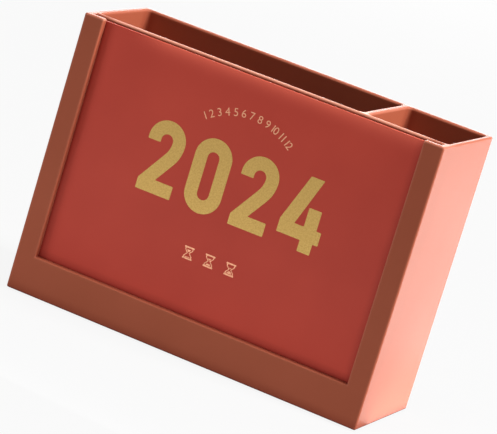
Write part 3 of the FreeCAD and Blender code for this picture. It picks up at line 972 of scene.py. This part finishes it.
def make_hourglasses():
    bm = bmesh.new()
    for x, left_on_top in GLASS_PLACES:
        draw_hourglass(bm, x, GLASS_BASE, left_on_top)
    return lay_print(
        "hourglass_foil", bm, rose_foil, "title_card", card_low.y, corner=GLASS_CORNER
    )


hourglasses = make_hourglasses()
print("hourglasses:", len(hourglasses.data.polygons), "faces")

# %% [markdown]
# ## Month cards
# Each month card carries its dates in a grid, seven to a row from Monday to Sunday, with the
# month's own number in foil beside them. A picture of each page would blur when seen close, so the
# print is thin solids, as the foil is. The calendar module works the dates out, so that all twelve
# cards come from the same few lines. The print is only a hundredth of a millimetre or so proud,
# because the cards nearly touch each other in the slot.

# %% Dates of every month
YEAR = 2024
PRINT_PROUD = 0.015 * MM
DATE_TALL = 6.2
DATE_LEFT, DATE_STEP_X = -36.0, 19.0
DATE_TOP, DATE_STEP_Z = 118.0, 18.0
DATE_RIGHT = DATE_LEFT + 6 * DATE_STEP_X  # the seventh column, Sunday
MONTH_TALL, MONTH_X, MONTH_Z = 27.0, -70.0, 105.6
RULE_RISE, RULE_PAST, RULE_THICK = 14.0, 8.0, 0.6  # over the first row, past both its ends


def draw_dates(bm, month):
    """The month's dates, one row to a week."""
    weeks = calendar.Calendar().monthdayscalendar(YEAR, month)
    for row, week in enumerate(weeks):
        for column, date in enumerate(week):
            if date:
                x, z = DATE_LEFT + column * DATE_STEP_X, DATE_TOP - row * DATE_STEP_Z
                add_number(bm, date, x, z, DATE_TALL, DATE_FINENESS)


def draw_rule(bm):
    """The line over the dates."""
    low, left, right = DATE_TOP + RULE_RISE, DATE_LEFT - RULE_PAST, DATE_RIGHT + RULE_PAST
    add_run(bm, (left, low), (right, low), (right, low + RULE_THICK), (left, low + RULE_THICK))


def print_month_card(month):
    name = f"month_card_{month:02d}"
    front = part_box(name)[0].y
    ink, foil = bmesh.new(), bmesh.new()
    draw_dates(ink, month)
    draw_rule(ink)
    add_number(foil, f"{month:02d}", MONTH_X, MONTH_Z, MONTH_TALL, MONTH_FINENESS)
    for bm, kind, material in ((ink, "print_ink", print_ink), (foil, "gold_foil", gold_foil)):
        lay_print(f"{name}_{kind}", bm, material, name, front, PRINT_PROUD)


for month in range(1, 13):
    print_month_card(month)
for flat in number_shapes.values():
    bpy.data.meshes.remove(flat)
print("printed 12 month cards")

# %% [markdown]
# ## Floor and backdrop
# A white studio sweep could be modelled and lit until it is white, but that much light would also
# wash out the box. So the floor is white by itself to the camera and to reflections, and a matt
# grey to the light that it throws back on the object. It keeps a share of its own shading even
# where it is seen, so the box's soft shadow stays on it. The world does the same: white where it
# is seen, and nearly dark where it lights the object.

# %% Seen or lighting
def seen_directly(tree):
    """1 for camera, glossy and transmission rays, 0 for the rays that light the object."""
    path = tree.nodes.new("ShaderNodeLightPath").outputs
    seen = add_math(tree, "ADD", path["Is Camera Ray"], path["Is Glossy Ray"], clamp=True)
    return add_math(tree, "ADD", seen, path["Is Transmission Ray"], clamp=True)


# %% Floor
FLOOR_SIZE = 12.0
FLOOR_COLOUR = (0.36, 0.36, 0.36, 1)
WHITE_SHARE = 0.9


def make_floor_white():
    material = bpy.data.materials.new("floor_white")
    material.use_nodes = True
    tree = material.node_tree
    tree.nodes.clear()
    matt = add_node(tree, "ShaderNodeBsdfDiffuse", Color=FLOOR_COLOUR)
    white = add_node(tree, "ShaderNodeEmission", Color=(1, 1, 1, 1), Strength=1.0)
    share = add_math(tree, "MULTIPLY", seen_directly(tree), WHITE_SHARE)
    mixed = tree.nodes.new("ShaderNodeMixShader")
    for socket, value in zip(mixed.inputs, (share, matt.outputs[0], white.outputs[0])):
        feed(tree, socket, value)
    add_node(tree, "ShaderNodeOutputMaterial", Surface=mixed.outputs[0])
    return material


def make_floor():
    bm = bmesh.new()
    bmesh.ops.create_grid(bm, x_segments=1, y_segments=1, size=FLOOR_SIZE / 2)
    mesh = bpy.data.meshes.new("floor")
    bm.to_mesh(mesh)
    bm.free()
    mesh.materials.append(make_floor_white())
    floor = bpy.data.objects.new("floor", mesh)
    bpy.context.scene.collection.objects.link(floor)
    return floor


floor = make_floor()
print("floor size in metres:", [round(s, 3) for s in floor.dimensions])

# %% World
AMBIENT = 0.02  # of white


def make_world():
    world = bpy.data.worlds.new("white_surround")
    world.use_nodes = True
    bpy.context.scene.world = world
    tree = world.node_tree
    strength = add_ramp(tree, seen_directly(tree), 0.0, 1.0, AMBIENT, 1.0)
    fill(tree, tree.nodes["Background"], Color=(1, 1, 1, 1), Strength=strength)


make_world()
print("the world lights the object at", AMBIENT)

# %% [markdown]
# ## Lamps
# A lamp that is large beside the object makes soft shadows, as a studio's softbox does. The key
# stands high on the right and makes the right side the brightest face. The fills are much weaker,
# and each opens up a face that the key leaves dark. The right side also glows evenly from front to
# back. One lamp can't give that without washing out the front as well, so a row of panels lies
# just over the floor beside that side and shines up at it. The panels are wider the further off
# they lie, and the far ones are brighter.

# %% Softboxes
WHITE_AT_A_METRE = math.pi**2  # watts that light a white surface, one metre off, to white
SOFTBOXES = {  # azimuth, elevation, distance, width, height, level
    "key_right": (92, 42, 3.0, 0.7, 1.4, 1.80),
    "fill_top": (20, 76, 2.0, 1.2, 0.5, 0.36),
    "fill_left_front": (-60, 0, 1.5, 0.5, 0.1, 0.28),
    "fill_low_front": (-8, -17, 0.20, 0.32, 0.03, 0.15),
    "fill_back": (200, 16, 2.0, 0.9, 0.6, 0.44),
}


def add_lamp(name, place, turn, width, height, energy):
    """A rectangular lamp that the camera doesn't see, at a place, turned from shining straight down."""
    data = bpy.data.lights.new(name, "AREA")
    data.shape = "RECTANGLE"
    data.size, data.size_y = width, height
    data.energy = energy
    lamp = bpy.data.objects.new(name, data)
    lamp.location = place
    lamp.rotation_mode = "QUATERNION"
    lamp.rotation_quaternion = turn
    lamp.visible_camera = False
    bpy.context.scene.collection.objects.link(lamp)


def add_softbox(name, azimuth, elevation, distance, width, height, level):
    """A lamp aimed at the box. Level 1 makes a white surface that faces it just white."""
    away = direction_from(azimuth, elevation)
    turn = (-away).to_track_quat("-Z", "Y")
    energy = level * WHITE_AT_A_METRE * distance**2
    add_lamp(name, CAMERA_AIM + away * distance, turn, width, height, energy)


for name, numbers in SOFTBOXES.items():
    add_softbox(name, *numbers)
print(len(SOFTBOXES), "softboxes")

# %% Glow along the right side
GLOW_AZIMUTH = 165
GLOW_START = Vector((cad_high.x + 6 * MM, -22 * MM, 2 * MM))  # beside the side's foot
GLOW_PANELS = (  # from and to, measured from the start, then width and level
    (0.00, 0.06, 0.05, 3.3),
    (0.06, 0.16, 0.08, 3.3),
    (0.16, 0.45, 0.16, 5.3),
    (0.45, 1.20, 0.40, 6.1),
)


def add_glow(near, far, wide, level):
    """A panel that lies flat and shines up, with its length along the row."""
    long = far - near
    middle = GLOW_START + direction_from(GLOW_AZIMUTH, 0) * (near + far) / 2
    turn = Quaternion((0, 0, 1), math.radians(GLOW_AZIMUTH)) @ Quaternion((1, 0, 0), math.pi)
    add_lamp(f"glow_{far:.2f}", middle, turn, wide, long, level * math.pi * wide * long)


for panel in GLOW_PANELS:
    add_glow(*panel)
print(len(GLOW_PANELS), "glow panels")

# %% [markdown]
# ## View
# Standard shows colours as they are written, where a film-like view would change them.

# %% View
view_settings = bpy.context.scene.view_settings
view_settings.view_transform = "Standard"
print("view transform:", view_settings.view_transform)
